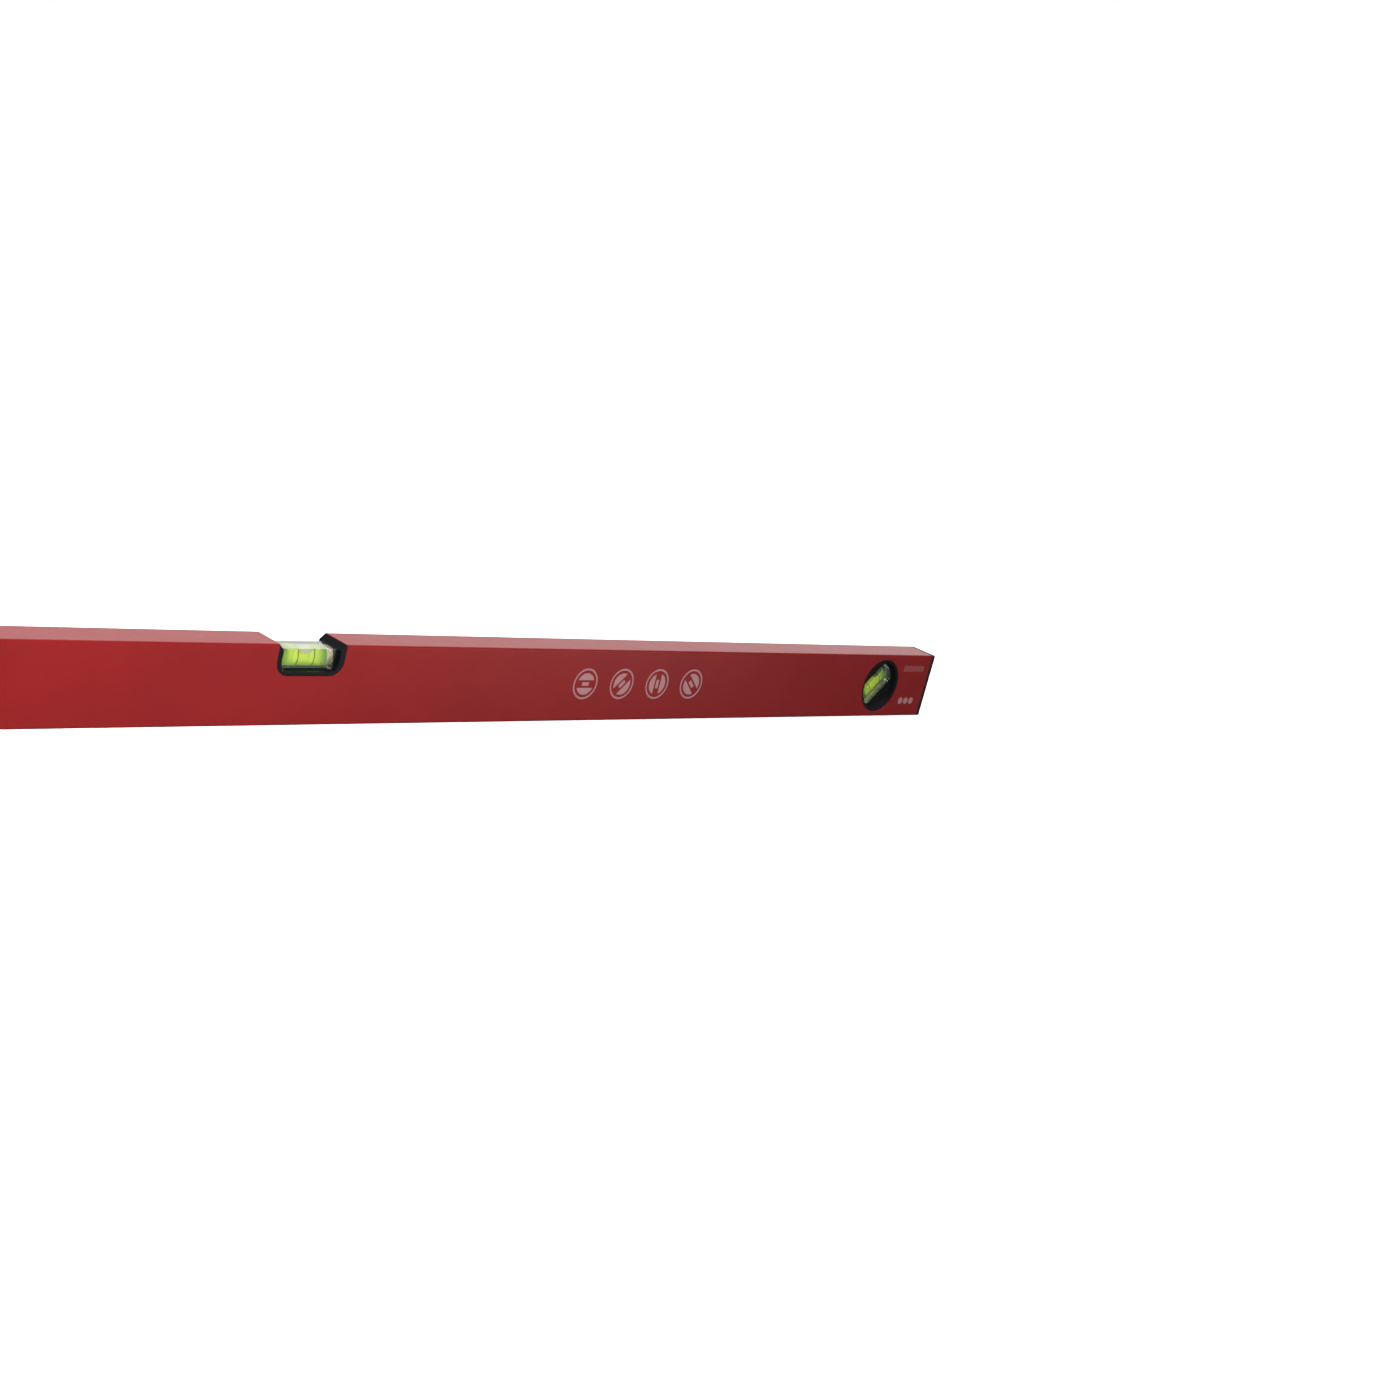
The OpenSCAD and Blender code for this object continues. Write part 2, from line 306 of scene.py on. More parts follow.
@dataclass(frozen=True)
class PaintedAluminium:
    """Red powder coat on an extrusion, glossier on the edge faces and lighter on the faces that face up as painted
    light, with a bare milled base face.
    """

    slot: ClassVar[str] = "painted_section"
    red: Colour = (0.118, 0.0052, 0.0056)
    deep_red: Colour = (0.109, 0.0047, 0.0052)
    # Painted light: a lighter red for the faces that face up.
    painted_light_top_red: Colour = (0.132, 0.0060, 0.0063)
    bare: Colour = (0.72, 0.72, 0.74)
    dust: Colour = (0.42, 0.3, 0.27)
    half_thickness: float = 12 * MM
    height: float = 50 * MM
    edge: float = 1 * MM
    gloss: float = 0.145
    rough: float = 0.34
    dustiness: float = 0.06
    cloud_cells: float = 26.0
    dust_cells: float = 150.0
    chip_cells: float = 260.0
    peel_cells: float = 900.0
    grain_cells: float = 4200.0
    cutter_lines: float = 620.0
    peel_depth: float = 0.022 * MM

    def worn(self, s: Shader, place: Sock, drawn: Sock) -> Sock:
        """Where the long edges are chipped through to the metal.

        Args:
            s: The material under construction.
            place: The point on the object.
            drawn: The streaks along the extrusion, which break up the wear.

        Returns:
            1 on bare metal and 0 on paint.
        """
        _, y, z = s.axes(place)
        near_side = (y.abs() - (self.half_thickness - self.edge)).ramp(0.0, self.edge)
        near_end = ((z - self.height / 2).abs() - (self.height / 2 - self.edge)).ramp(0.0, self.edge)
        chipped = s.noise(place, self.chip_cells, 5.0, 0.72).ramp(0.66, 0.72)
        return near_side * near_end * chipped * drawn.ramp(0.52, 0.62)

    def milled(self, s: Shader, place: Sock, up: Sock) -> Sock:
        """Where the base face is milled bare: 1 on it and 0 elsewhere."""
        _, _, z = s.axes(place)
        return (-up).ramp(0.9, 0.97) * z.ramp(0.5 * MM, 0.3 * MM)

    def paint(self, s: Shader, cloud: Sock, place: Sock, up: Sock) -> Sock:
        """The colour of the paint, with painted light on the faces that face up.

        Args:
            s: The material under construction.
            cloud: Slow noise that the red drifts with.
            place: The point on the object.
            up: How far the surface faces up.

        Returns:
            The colour, lighter where it faces up as painted light, with a little dust there.
        """
        dusty = up.ramp(0.9, 0.98) * s.noise(place, self.dust_cells, 5.0, 0.7).ramp(0.5, 0.85) * self.dustiness
        face = s.mix(cloud.ramp(0.3, 0.7), self.red, self.deep_red)
        # Painted light: faces that face up are mixed towards a lighter red; the dust on them is real.
        return s.mix(dusty, s.mix(up.ramp(0.7, 0.98), face, self.painted_light_top_red), self.dust)

    def build(self) -> bpy.types.Material:
        """Makes the material."""
        s = Shader("painted_aluminium")
        place = s.place()
        _, _, up = s.facing()
        cloud = s.noise(place, self.cloud_cells, 3.0)
        peel = s.noise(place, self.peel_cells, 2.0, 0.6)
        grain = s.noise(place, self.grain_cells, 1.0)
        drawn = s.noise(s.scaled(place, 6.0, 130.0, 160.0), 7.0, 4.0, 0.7)
        milled = self.milled(s, place, up)
        bare = self.worn(s, place, drawn).max(milled)
        lines = s.node(
            "ShaderNodeTexWave",
            {"wave_type": "BANDS", "bands_direction": "X", "wave_profile": "SIN"},
            {"Vector": place, "Scale": self.cutter_lines, "Distortion": 1.4, "Detail": 2.0, "Detail Scale": 3.0},
        ).out("Fac")
        s.set(
            Base_Color=s.mix(bare, self.paint(s, cloud, place, up), self.bare),
            Metallic=bare,
            Roughness=self.rough + cloud * 0.05 + drawn.ramp(0.5, 0.8) * 0.1 + grain * 0.04 - bare * 0.12,
            Specular_IOR_Level=0.07,
            Coat_Weight=up.ramp(0.55, 0.9) * self.gloss * (1.0 - bare) + 0.01,
            Coat_Roughness=0.16,
            Coat_IOR=1.5,
            Normal=s.bump(peel * (1.0 - milled) + lines * milled * 0.7 + grain * 0.25, self.peel_depth, 0.75),
        )
        return s.material


@dataclass(frozen=True)
class MouldedPlastic:
    """Black moulded plastic with a spark-eroded grain that handling has rubbed smoother in places."""

    slot: str
    colour: Colour = (0.0020, 0.0026, 0.0031)
    rough: float = 0.42
    grain_cells: float = 3200.0
    relief: float = 0.012 * MM
    cloud_cells: float = 90.0
    rub_cells: float = 420.0

    def build(self) -> bpy.types.Material:
        """Makes the material."""
        s = Shader(self.slot)
        place = s.place()
        cloud = s.noise(place, self.cloud_cells, 3.0)
        grain = s.noise(place, self.grain_cells, 2.0, 0.6)
        red, green, blue = self.colour
        lighter = (red * 2, green * 2, blue * 2)
        rub = s.noise(s.scaled(place, 1.0, 1.0, 3.0), self.rub_cells, 4.0, 0.7).ramp(0.56, 0.74)
        s.set(
            Base_Color=s.mix(cloud * 0.5 + rub * 0.4, self.colour, lighter),
            Roughness=self.rough + cloud * 0.1 - rub * 0.08 + grain * 0.05,
            Specular_IOR_Level=0.09,
            Normal=s.bump(grain + cloud * 0.5, self.relief, 0.8),
        )
        return s.material


@dataclass(frozen=True)
class PadRubber:
    """Matt black rubber with a faint bloom."""

    slot: ClassVar[str] = "pad_rubber"
    colour: Colour = (0.014, 0.014, 0.0145)
    bloom: Colour = (0.045, 0.044, 0.042)
    patch_cells: float = 130.0
    grain_cells: float = 2400.0
    relief: float = 0.02 * MM

    def build(self) -> bpy.types.Material:
        """Makes the material."""
        s = Shader("pad_rubber")
        place = s.place()
        patches = s.noise(place, self.patch_cells, 4.0, 0.65)
        s.set(
            Base_Color=s.mix(patches.ramp(0.4, 0.75) * 0.4, self.colour, self.bloom),
            Roughness=0.74 + patches * 0.16,
            Specular_IOR_Level=0.3,
            Normal=s.bump(s.noise(place, self.grain_cells), self.relief, 0.8),
        )
        return s.material


@dataclass(frozen=True)
class ClearAcrylic:
    """Clear acrylic block, tinted over its bore to stand in for the dye seen through it, with painted shade below the
    bore and past its ends, and a painted tone above the bore: light on the centre vial, shade on the end vials.
    """

    slot: ClassVar[str] = "clear_acrylic"
    seat: Seat
    # The tint over the bore stands in for the dye seen through the clear block; on the end vials it is darker, as
    # painted shade.
    over_bore: Colour
    # Painted light above the bore on the centre vial, and painted shade there on the end vials.
    above: Colour
    # Painted shade below the bore.
    painted_shade_below: Colour
    # Painted shade past the ends of the bore.
    ends: Colour
    bore_half_l: float
    shade_from: float
    shade_to: float
    rough: float = 0.015
    top_from: float = 4.8 * MM
    top_to: float = 6.2 * MM
    end_before: float = 0.4 * MM
    end_after: float = 0.8 * MM
    wipe_cells: float = 240.0

    def build(self) -> bpy.types.Material:
        """Makes the material."""
        s = Shader(f"clear_acrylic_{self.seat.name}")
        place = s.seated(self.seat)
        along, _, up = s.axes(place)
        # Painted shade below the bore and past its ends, and the painted tone above it.
        tint = s.mix((-up).ramp(self.shade_from, self.shade_to), self.over_bore, self.painted_shade_below)
        tint = s.mix(up.ramp(self.top_from, self.top_to), tint, self.above)
        past_bore = along.abs().ramp(self.bore_half_l - self.end_before, self.bore_half_l + self.end_after)
        tint = s.mix(past_bore, tint, self.ends)
        wipe = s.noise(s.scaled(place, 1.0, 3.0, 1.0), self.wipe_cells, 4.0, 0.7)
        s.set(
            Base_Color=tint,
            Roughness=self.rough + wipe.ramp(0.5, 0.8) * 0.05,
            IOR=1.49,
            Transmission_Weight=0.97,
        )
        return s.material


@dataclass(frozen=True)
class VialLiquid:
    """Liquid with a yellow-green dye, darker at the bottom and the ends of the bore as painted shade, and given a
    glow as painted light.
    """

    slot: ClassVar[str] = "vial_liquid"
    seat: Seat
    bore_half_l: float
    bright: Colour = (0.74, 0.92, 0.06)
    # Painted shade: the darker green that the bottom and the ends of the bore are mixed towards.
    deep: Colour = (0.16, 0.42, 0.035)
    # Painted light: the liquid glows though it is no lamp.
    glow: float = 0.2
    low_from: float = 1.0 * MM
    low_to: float = 4.8 * MM
    end_from: float = 6 * MM
    end_to: float = 0.5 * MM
    swirl_cells: float = 160.0

    def build(self) -> bpy.types.Material:
        """Makes the material."""
        s = Shader(f"vial_liquid_{self.seat.name}")
        place = s.seated(self.seat)
        along, _, up = s.axes(place)
        # Painted shade towards the bottom of the bore and its ends; the swirl adds a random tone.
        low = (-up).ramp(self.low_from, self.low_to) * 0.6
        end = along.abs().ramp(self.bore_half_l - self.end_from, self.bore_half_l - self.end_to) * 0.85
        swirl = s.noise(place, self.swirl_cells) * 0.16
        colour = s.mix(low.max(end) + swirl, self.bright, self.deep)
        s.set(
            Base_Color=colour,
            Roughness=0.0,
            IOR=1.02,
            Transmission_Weight=0.88,
            # Painted light: the liquid gives off its own colour as a glow.
            Emission_Color=colour,
            Emission_Strength=self.glow,
        )
        return s.material


@dataclass(frozen=True)
class AirBubble:
    """Air, seen as a pale grey lens inside the liquid; the grey is painted light, standing in for what is seen
    through the bubble and reflected at its surface.
    """

    slot: ClassVar[str] = "air_bubble"
    # Painted light: air has no colour, and these two greys, mixed by soft noise, stand in for the bubble's look.
    pale: Colour = (0.44, 0.44, 0.39)
    rim: Colour = (0.34, 0.36, 0.29)

    def build(self) -> bpy.types.Material:
        """Makes the material."""
        s = Shader("air_bubble")
        soft = s.noise(s.place(), 300.0)
        s.set(
            Base_Color=s.mix(soft.ramp(0.35, 0.75), self.pale, self.rim),
            Roughness=0.06,
            IOR=1.2,
            Transmission_Weight=0.35,
        )
        return s.material


@dataclass(frozen=True)
class PlugPlastic:
    """Pale beige plastic of the plug that closes a bore."""

    slot: ClassVar[str] = "plug_plastic"
    pale: Colour = (0.42, 0.38, 0.27)
    shade: Colour = (0.3, 0.27, 0.18)
    relief: float = 0.01 * MM

    def build(self) -> bpy.types.Material:
        """Makes the material."""
        s = Shader("plug_plastic")
        place = s.place()
        soft = s.noise(place, 320.0, 3.0)
        s.set(
            Base_Color=s.mix(soft, self.pale, self.shade),
            Roughness=0.45 + soft * 0.15,
            Normal=s.bump(s.noise(place, 2600.0), self.relief, 0.6),
        )
        return s.material


@dataclass(frozen=True)
class PrintInk:
    """Thin pale ink with the red showing through where it is worn."""

    slot: ClassVar[str] = "painted_section"
    name: str
    ink: Colour
    worn: Colour
    relief: float = 0.008 * MM

    def build(self) -> bpy.types.Material:
        """Makes the material."""
        s = Shader(self.name)
        place = s.place()
        thin = s.noise(place, 1300.0, 4.0, 0.7)
        s.set(
            Base_Color=s.mix(thin.ramp(0.5, 0.72), self.ink, self.worn),
            Roughness=0.42 + thin * 0.15,
            Specular_IOR_Level=0.3,
            Normal=s.bump(s.noise(place, 1500.0), self.relief, 0.7),
        )
        return s.material


PAINT = PaintedAluminium()
CAP = MouldedPlastic("end_cap_plastic", (0.0065, 0.0065, 0.007), 0.5, 2200.0, 0.02 * MM)
HOLDER = MouldedPlastic("holder_plastic")
RING = MouldedPlastic("ring_black", (0.004, 0.004, 0.004), 0.5, 1800.0, 0.004 * MM)
RUBBER = PadRubber()
PLUG = PlugPlastic()
BUBBLE = AirBubble()
INK = PrintInk("print_ink", (0.195, 0.088, 0.092), (0.15, 0.052, 0.054))
FAINT_INK = PrintInk("faint_print_ink", (0.165, 0.048, 0.052), (0.12, 0.017, 0.018))

_made: dict[Finish, bpy.types.Material] = {}


def material_of(finish: Finish) -> bpy.types.Material:
    """The finish's material, made the first time that it is asked for."""
    if finish not in _made:
        _made[finish] = finish.build()
    return _made[finish]


# Mesh building --------------------------------------------------------------------------------------------


def add_piece(
    name: str, mesh: bpy.types.Mesh, finish: Finish, body: str, stands_for: Sequence[str] = ()
) -> bpy.types.Object:
    """Puts a finished mesh in the scene as a piece of the level.

    Args:
        name: The piece's name.
        mesh: Its mesh, in the frame's own place.
        finish: What it is made of.
        body: The CAD body that it moves with.
        stands_for: The CAD nodes that it is shown instead of.

    Returns:
        The piece.
    """
    mesh.name = name
    piece = bpy.data.objects.new(name, mesh)
    bpy.context.scene.collection.objects.link(piece)
    mesh.materials.clear()
    mesh.materials.append(material_of(finish))
    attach(piece, body)
    if stands_for:
        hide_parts(*stands_for)
    log.info("%s: %d faces on %s", name, len(mesh.polygons), body)
    return piece


def to_mesh(bm: bmesh.types.BMesh, smooth_below: float = 38.0) -> bpy.types.Mesh:
    """Closes a bmesh into a mesh that is smooth except at edges sharper than an angle.

    Args:
        bm: The shape, which is freed.
        smooth_below: The angle in degrees, under which two faces shade as one.

    Returns:
        The mesh.
    """
    mesh = bpy.data.meshes.new("piece")
    bm.to_mesh(mesh)
    bm.free()
    mesh.shade_smooth()
    mesh.set_sharp_from_angle(angle=math.radians(smooth_below))
    return mesh


def soften(bm: bmesh.types.BMesh, width: float, segments: int = 2, over: float = 28.0) -> None:
    """Rounds every edge of a closed shape that is sharper than an angle, and welds any sliver that this leaves.

    Args:
        bm: The shape.
        width: How wide the rounding is, in metres.
        segments: How many faces go round each edge.
        over: The angle in degrees.
    """
    sharp = [e for e in bm.edges if e.is_manifold and e.calc_face_angle(0) > math.radians(over)]
    rounding = {"offset": width, "offset_type": "OFFSET", "segments": segments, "profile": 0.5}
    bmesh.ops.bevel(bm, geom=sharp, affect="EDGES", clamp_overlap=True, **rounding)
    bmesh.ops.remove_doubles(bm, verts=bm.verts, dist=SLIVER)
    bmesh.ops.dissolve_degenerate(bm, dist=SLIVER, edges=bm.edges)


def worked_up(node: str, width: float, segments: int = 2) -> bpy.types.Mesh:
    """Copies a CAD node as one welded shell and rounds its edges.

    Args:
        node: The CAD node.
        width: How wide the rounding is, in metres.
        segments: How many faces go round each edge.

    Returns:
        The new mesh.
    """
    bm = bmesh.new()
    bm.from_mesh(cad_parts[node].data)
    bmesh.ops.remove_doubles(bm, verts=bm.verts, dist=WELD)
    bmesh.ops.dissolve_limit(bm, angle_limit=math.radians(FLAT_ANGLE), verts=bm.verts, edges=bm.edges)
    bmesh.ops.recalc_face_normals(bm, faces=bm.faces)
    soften(bm, width, segments)
    return to_mesh(bm)


def keep_flats_flat(piece: bpy.types.Object) -> None:
    """Weights the shading towards large faces, so that a rounded edge doesn't darken the flat beside it."""
    weighted = piece.modifiers.new("flat_faces", "WEIGHTED_NORMAL")
    weighted.mode = "FACE_AREA"
    weighted.weight = FLAT_WEIGHT
    weighted.keep_sharp = True


def extruded(outline: Outline, low: float, high: float, width: float) -> bmesh.types.BMesh:
    """Stands an XZ outline up, runs it along Y and rounds its edges.

    Args:
        outline: The corners, as X and Z in metres.
        low: The Y that it starts at.
        high: The Y that it ends at.
        width: How wide the rounding is, in metres.

    Returns:
        The shape.
    """
    bm = bmesh.new()
    ends = [[bm.verts.new((x, y, z)) for x, z in outline] for y in (low, high)]
    bm.faces.new(ends[0])
    bm.faces.new(reversed(ends[1]))
    count = len(outline)
    for i in range(count):
        j = (i + 1) % count
        bm.faces.new((ends[0][j], ends[0][i], ends[1][i], ends[1][j]))
    bmesh.ops.recalc_face_normals(bm, faces=bm.faces)
    soften(bm, width, segments=3, over=40.0)
    return bm


def turned(profile: Outline, steps: int = 64) -> bmesh.types.BMesh:
    """Turns a profile of (along X, radius) about the X axis into a closed solid.

    Args:
        profile: The points, from one end on the axis to the other.
        steps: How many faces go round.

    Returns:
        The shape, about the origin.
    """
    bm = bmesh.new()
    rings: list[list[bmesh.types.BMVert]] = []
    for x, r in profile:
        if r < 1e-9:
            rings.append([bm.verts.new((x, 0, 0))])
        else:
            turn = (2 * math.pi * k / steps for k in range(steps))
            rings.append([bm.verts.new((x, r * math.cos(a), r * math.sin(a))) for a in turn])
    for a, b in zip(rings, rings[1:]):
        for k in range(steps):
            corners = [a[k % len(a)], a[(k + 1) % len(a)], b[(k + 1) % len(b)], b[k % len(b)]]
            bm.faces.new(list(dict.fromkeys(corners)))
    bmesh.ops.recalc_face_normals(bm, faces=bm.faces)
    return bm


# Geometry Nodes -------------------------------------------------------------------------------------------


class GeometryTree:
    """A Geometry Nodes tree under construction, with one method that adds any node."""

    def __init__(self, name: str, sizes: dict[str, float | int]) -> None:
        """Starts a tree with named inputs.

        Args:
            name: The tree's name.
            sizes: Its inputs and their values, in metres or counts.
        """
        self.tree = bpy.data.node_groups.new(name, "GeometryNodeTree")
        self.sizes = sizes
        self.tree.interface.new_socket("Geometry", in_out="OUTPUT", socket_type="NodeSocketGeometry")
        for key, value in sizes.items():
            kind = "NodeSocketInt" if isinstance(value, int) else "NodeSocketFloat"
            self.tree.interface.new_socket(key, in_out="INPUT", socket_type=kind)
        self.given = self.tree.nodes.new("NodeGroupInput")

    def node(self, kind: str, settings: dict[str, Any], values: dict[str | int, Any]) -> bpy.types.Node:
        """Adds a node.

        Args:
            kind: The node's type.
            settings: Its properties, which are set first.
            values: A value or an output to link for each input, by name or place.

        Returns:
            The new node.
        """
        made = self.tree.nodes.new(kind)
        for key, value in settings.items():
            setattr(made, key, value)
        for key, value in values.items():
            target = made.inputs[key]
            if isinstance(value, bpy.types.NodeSocket):
                self.tree.links.new(value, target)
            else:
                target.default_value = value
        return made

    def maths(self, operation: str, a: Any, b: Any) -> bpy.types.NodeSocket:
        """Works out one sum on two values."""
        return self.node("ShaderNodeMath", {"operation": operation}, {0: a, 1: b}).outputs[0]

    def size(self, name: str) -> bpy.types.NodeSocket:
        """One of the tree's inputs."""
        return self.given.outputs[name]

    def along_x(self, length: Any) -> bpy.types.NodeSocket:
        """A vector of a given length along X."""
        return self.node("ShaderNodeCombineXYZ", {}, {"X": length}).outputs[0]

    def row(self, count: Any, pitch: Any, start: Any = 0.0) -> bpy.types.NodeSocket:
        """Points in a row along X.

        Args:
            count: How many points there are.
            pitch: The distance from one to the next.
            start: The first one's X.

        Returns:
            The points.
        """
        values = {"Count": count, "Start Location": self.along_x(start), "Offset": self.along_x(pitch)}
        return self.node("GeometryNodeMeshLine", {}, values).outputs["Mesh"]

    def spread(self, points: Any, shape: Any, turn: Any = (0.0, 0.0, 0.0)) -> bpy.types.NodeSocket:
        """Puts a copy of a shape on each point.

        Args:
            points: The points.
            shape: The shape.
            turn: How each copy is turned, plain or an output.

        Returns:
            The copies.
        """
        values = {"Points": points, "Instance": shape, "Rotation": turn}
        return self.node("GeometryNodeInstanceOnPoints", {}, values).outputs[0]

    def hoop(self, sides: int, radius: Any, wide: Any, thick: Any) -> bpy.types.NodeSocket:
        """A ring about the Z axis with a square-cornered section.

        Args:
            sides: How many sides go round.
            radius: The radius to the middle of its section.
            wide: The section's size away from the axis.
            thick: The section's size along the axis.

        Returns:
            The ring.
        """
        loop = self.node("GeometryNodeCurvePrimitiveCircle", {}, {"Resolution": sides, "Radius": radius})
        section = self.node("GeometryNodeCurvePrimitiveQuadrilateral", {}, {"Width": wide, "Height": thick})
        values = {"Curve": loop.outputs["Curve"], "Profile Curve": section.outputs[0]}
        return self.node("GeometryNodeCurveToMesh", {}, values).outputs[0]

    def join(self, *parts: bpy.types.NodeSocket) -> bpy.types.NodeSocket:
        """Joins several geometries.

        Args:
            parts: The geometries.

        Returns:
            All of them as one.
        """
        made = self.tree.nodes.new("GeometryNodeJoinGeometry")
        for part in parts:
            self.tree.links.new(part, made.inputs[0])
        return made.outputs[0]

    def mesh(self, shape: bpy.types.NodeSocket, finish: Finish) -> bpy.types.Mesh:
        """Realizes the instances, sets the material and evaluates the tree to a plain mesh.

        Args:
            shape: The geometry that the tree ends in.
            finish: What it is made of.

        Returns:
            The mesh.
        """
        real = self.node("GeometryNodeRealizeInstances", {}, {0: shape}).outputs[0]
        dressed = self.node("GeometryNodeSetMaterial", {}, {"Geometry": real, "Material": material_of(finish)})
        result = self.tree.nodes.new("NodeGroupOutput")
        self.tree.links.new(dressed.outputs[0], result.inputs[0])
        carrier = bpy.data.objects.new("carrier", bpy.data.meshes.new("carrier"))
        bpy.context.scene.collection.objects.link(carrier)
        modifier = carrier.modifiers.new("nodes", "NODES")
        modifier.node_group = self.tree
        for item in self.tree.interface.items_tree:
            if item.in_out == "INPUT":
                modifier[item.identifier] = self.sizes[item.name]
        graph = bpy.context.evaluated_depsgraph_get()
        mesh = bpy.data.meshes.new_from_object(carrier.evaluated_get(graph), depsgraph=graph)
        carrier.modifiers.remove(modifier)
        bpy.data.objects.remove(carrier)
        return mesh


# Sub-assemblies -------------------------------------------------------------------------------------------


@dataclass
class BoxSection:
    """The painted extrusion with its notch and cross holes."""

    edge: float = 0.22 * MM
    ink_room: float = 0.03 * MM

    def build(self) -> None:
        """Makes the section, with its sides set in by the thickness of the ink on them."""
        mesh = worked_up("profile", self.edge)
        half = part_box("profile")[1].y
        mesh.transform(Matrix.Diagonal((1.0, 1.0 - self.ink_room / half, 1.0, 1.0)))
        keep_flats_flat(add_piece("painted_section", mesh, PAINT, LEVEL, ["profile"]))


class Side(Enum):
    """The two ends of the level."""

    LEFT = "left"
    RIGHT = "right"


@dataclass
class EndCap:
    """A moulded cap with a rubber impact pad sunk in it."""

    side: Side
    edge: float = 0.5 * MM
    pad_edge: float = 0.35 * MM

    def build(self) -> None:
        """Makes the cap and its pad."""
        cap = f"end_cap_{self.side.value}"
        pad = f"end_pad_{self.side.value}"
        keep_flats_flat(add_piece(f"{cap}_moulding", worked_up(cap, self.edge, 3), CAP, LEVEL, [cap]))
        keep_flats_flat(add_piece(f"{pad}_rubber", worked_up(pad, self.pad_edge, 3), RUBBER, LEVEL, [pad]))


@dataclass
class MouldedPair:
    """The front and back halves of a vial's holder or housing."""

    stem: str
    edge: float = 0.25 * MM

    def build(self) -> None:
        """Makes both halves."""
        for face in ("front", "back"):
            node = f"{self.stem}_{face}"
            mesh = worked_up(node, self.edge, 3)
            keep_flats_flat(add_piece(f"{node}_moulding", mesh, HOLDER, LEVEL, [node]))


class Shape(Enum):
    """The two outlines of a vial block."""

    BAR = "bar"
    CLIPPED = "clipped"


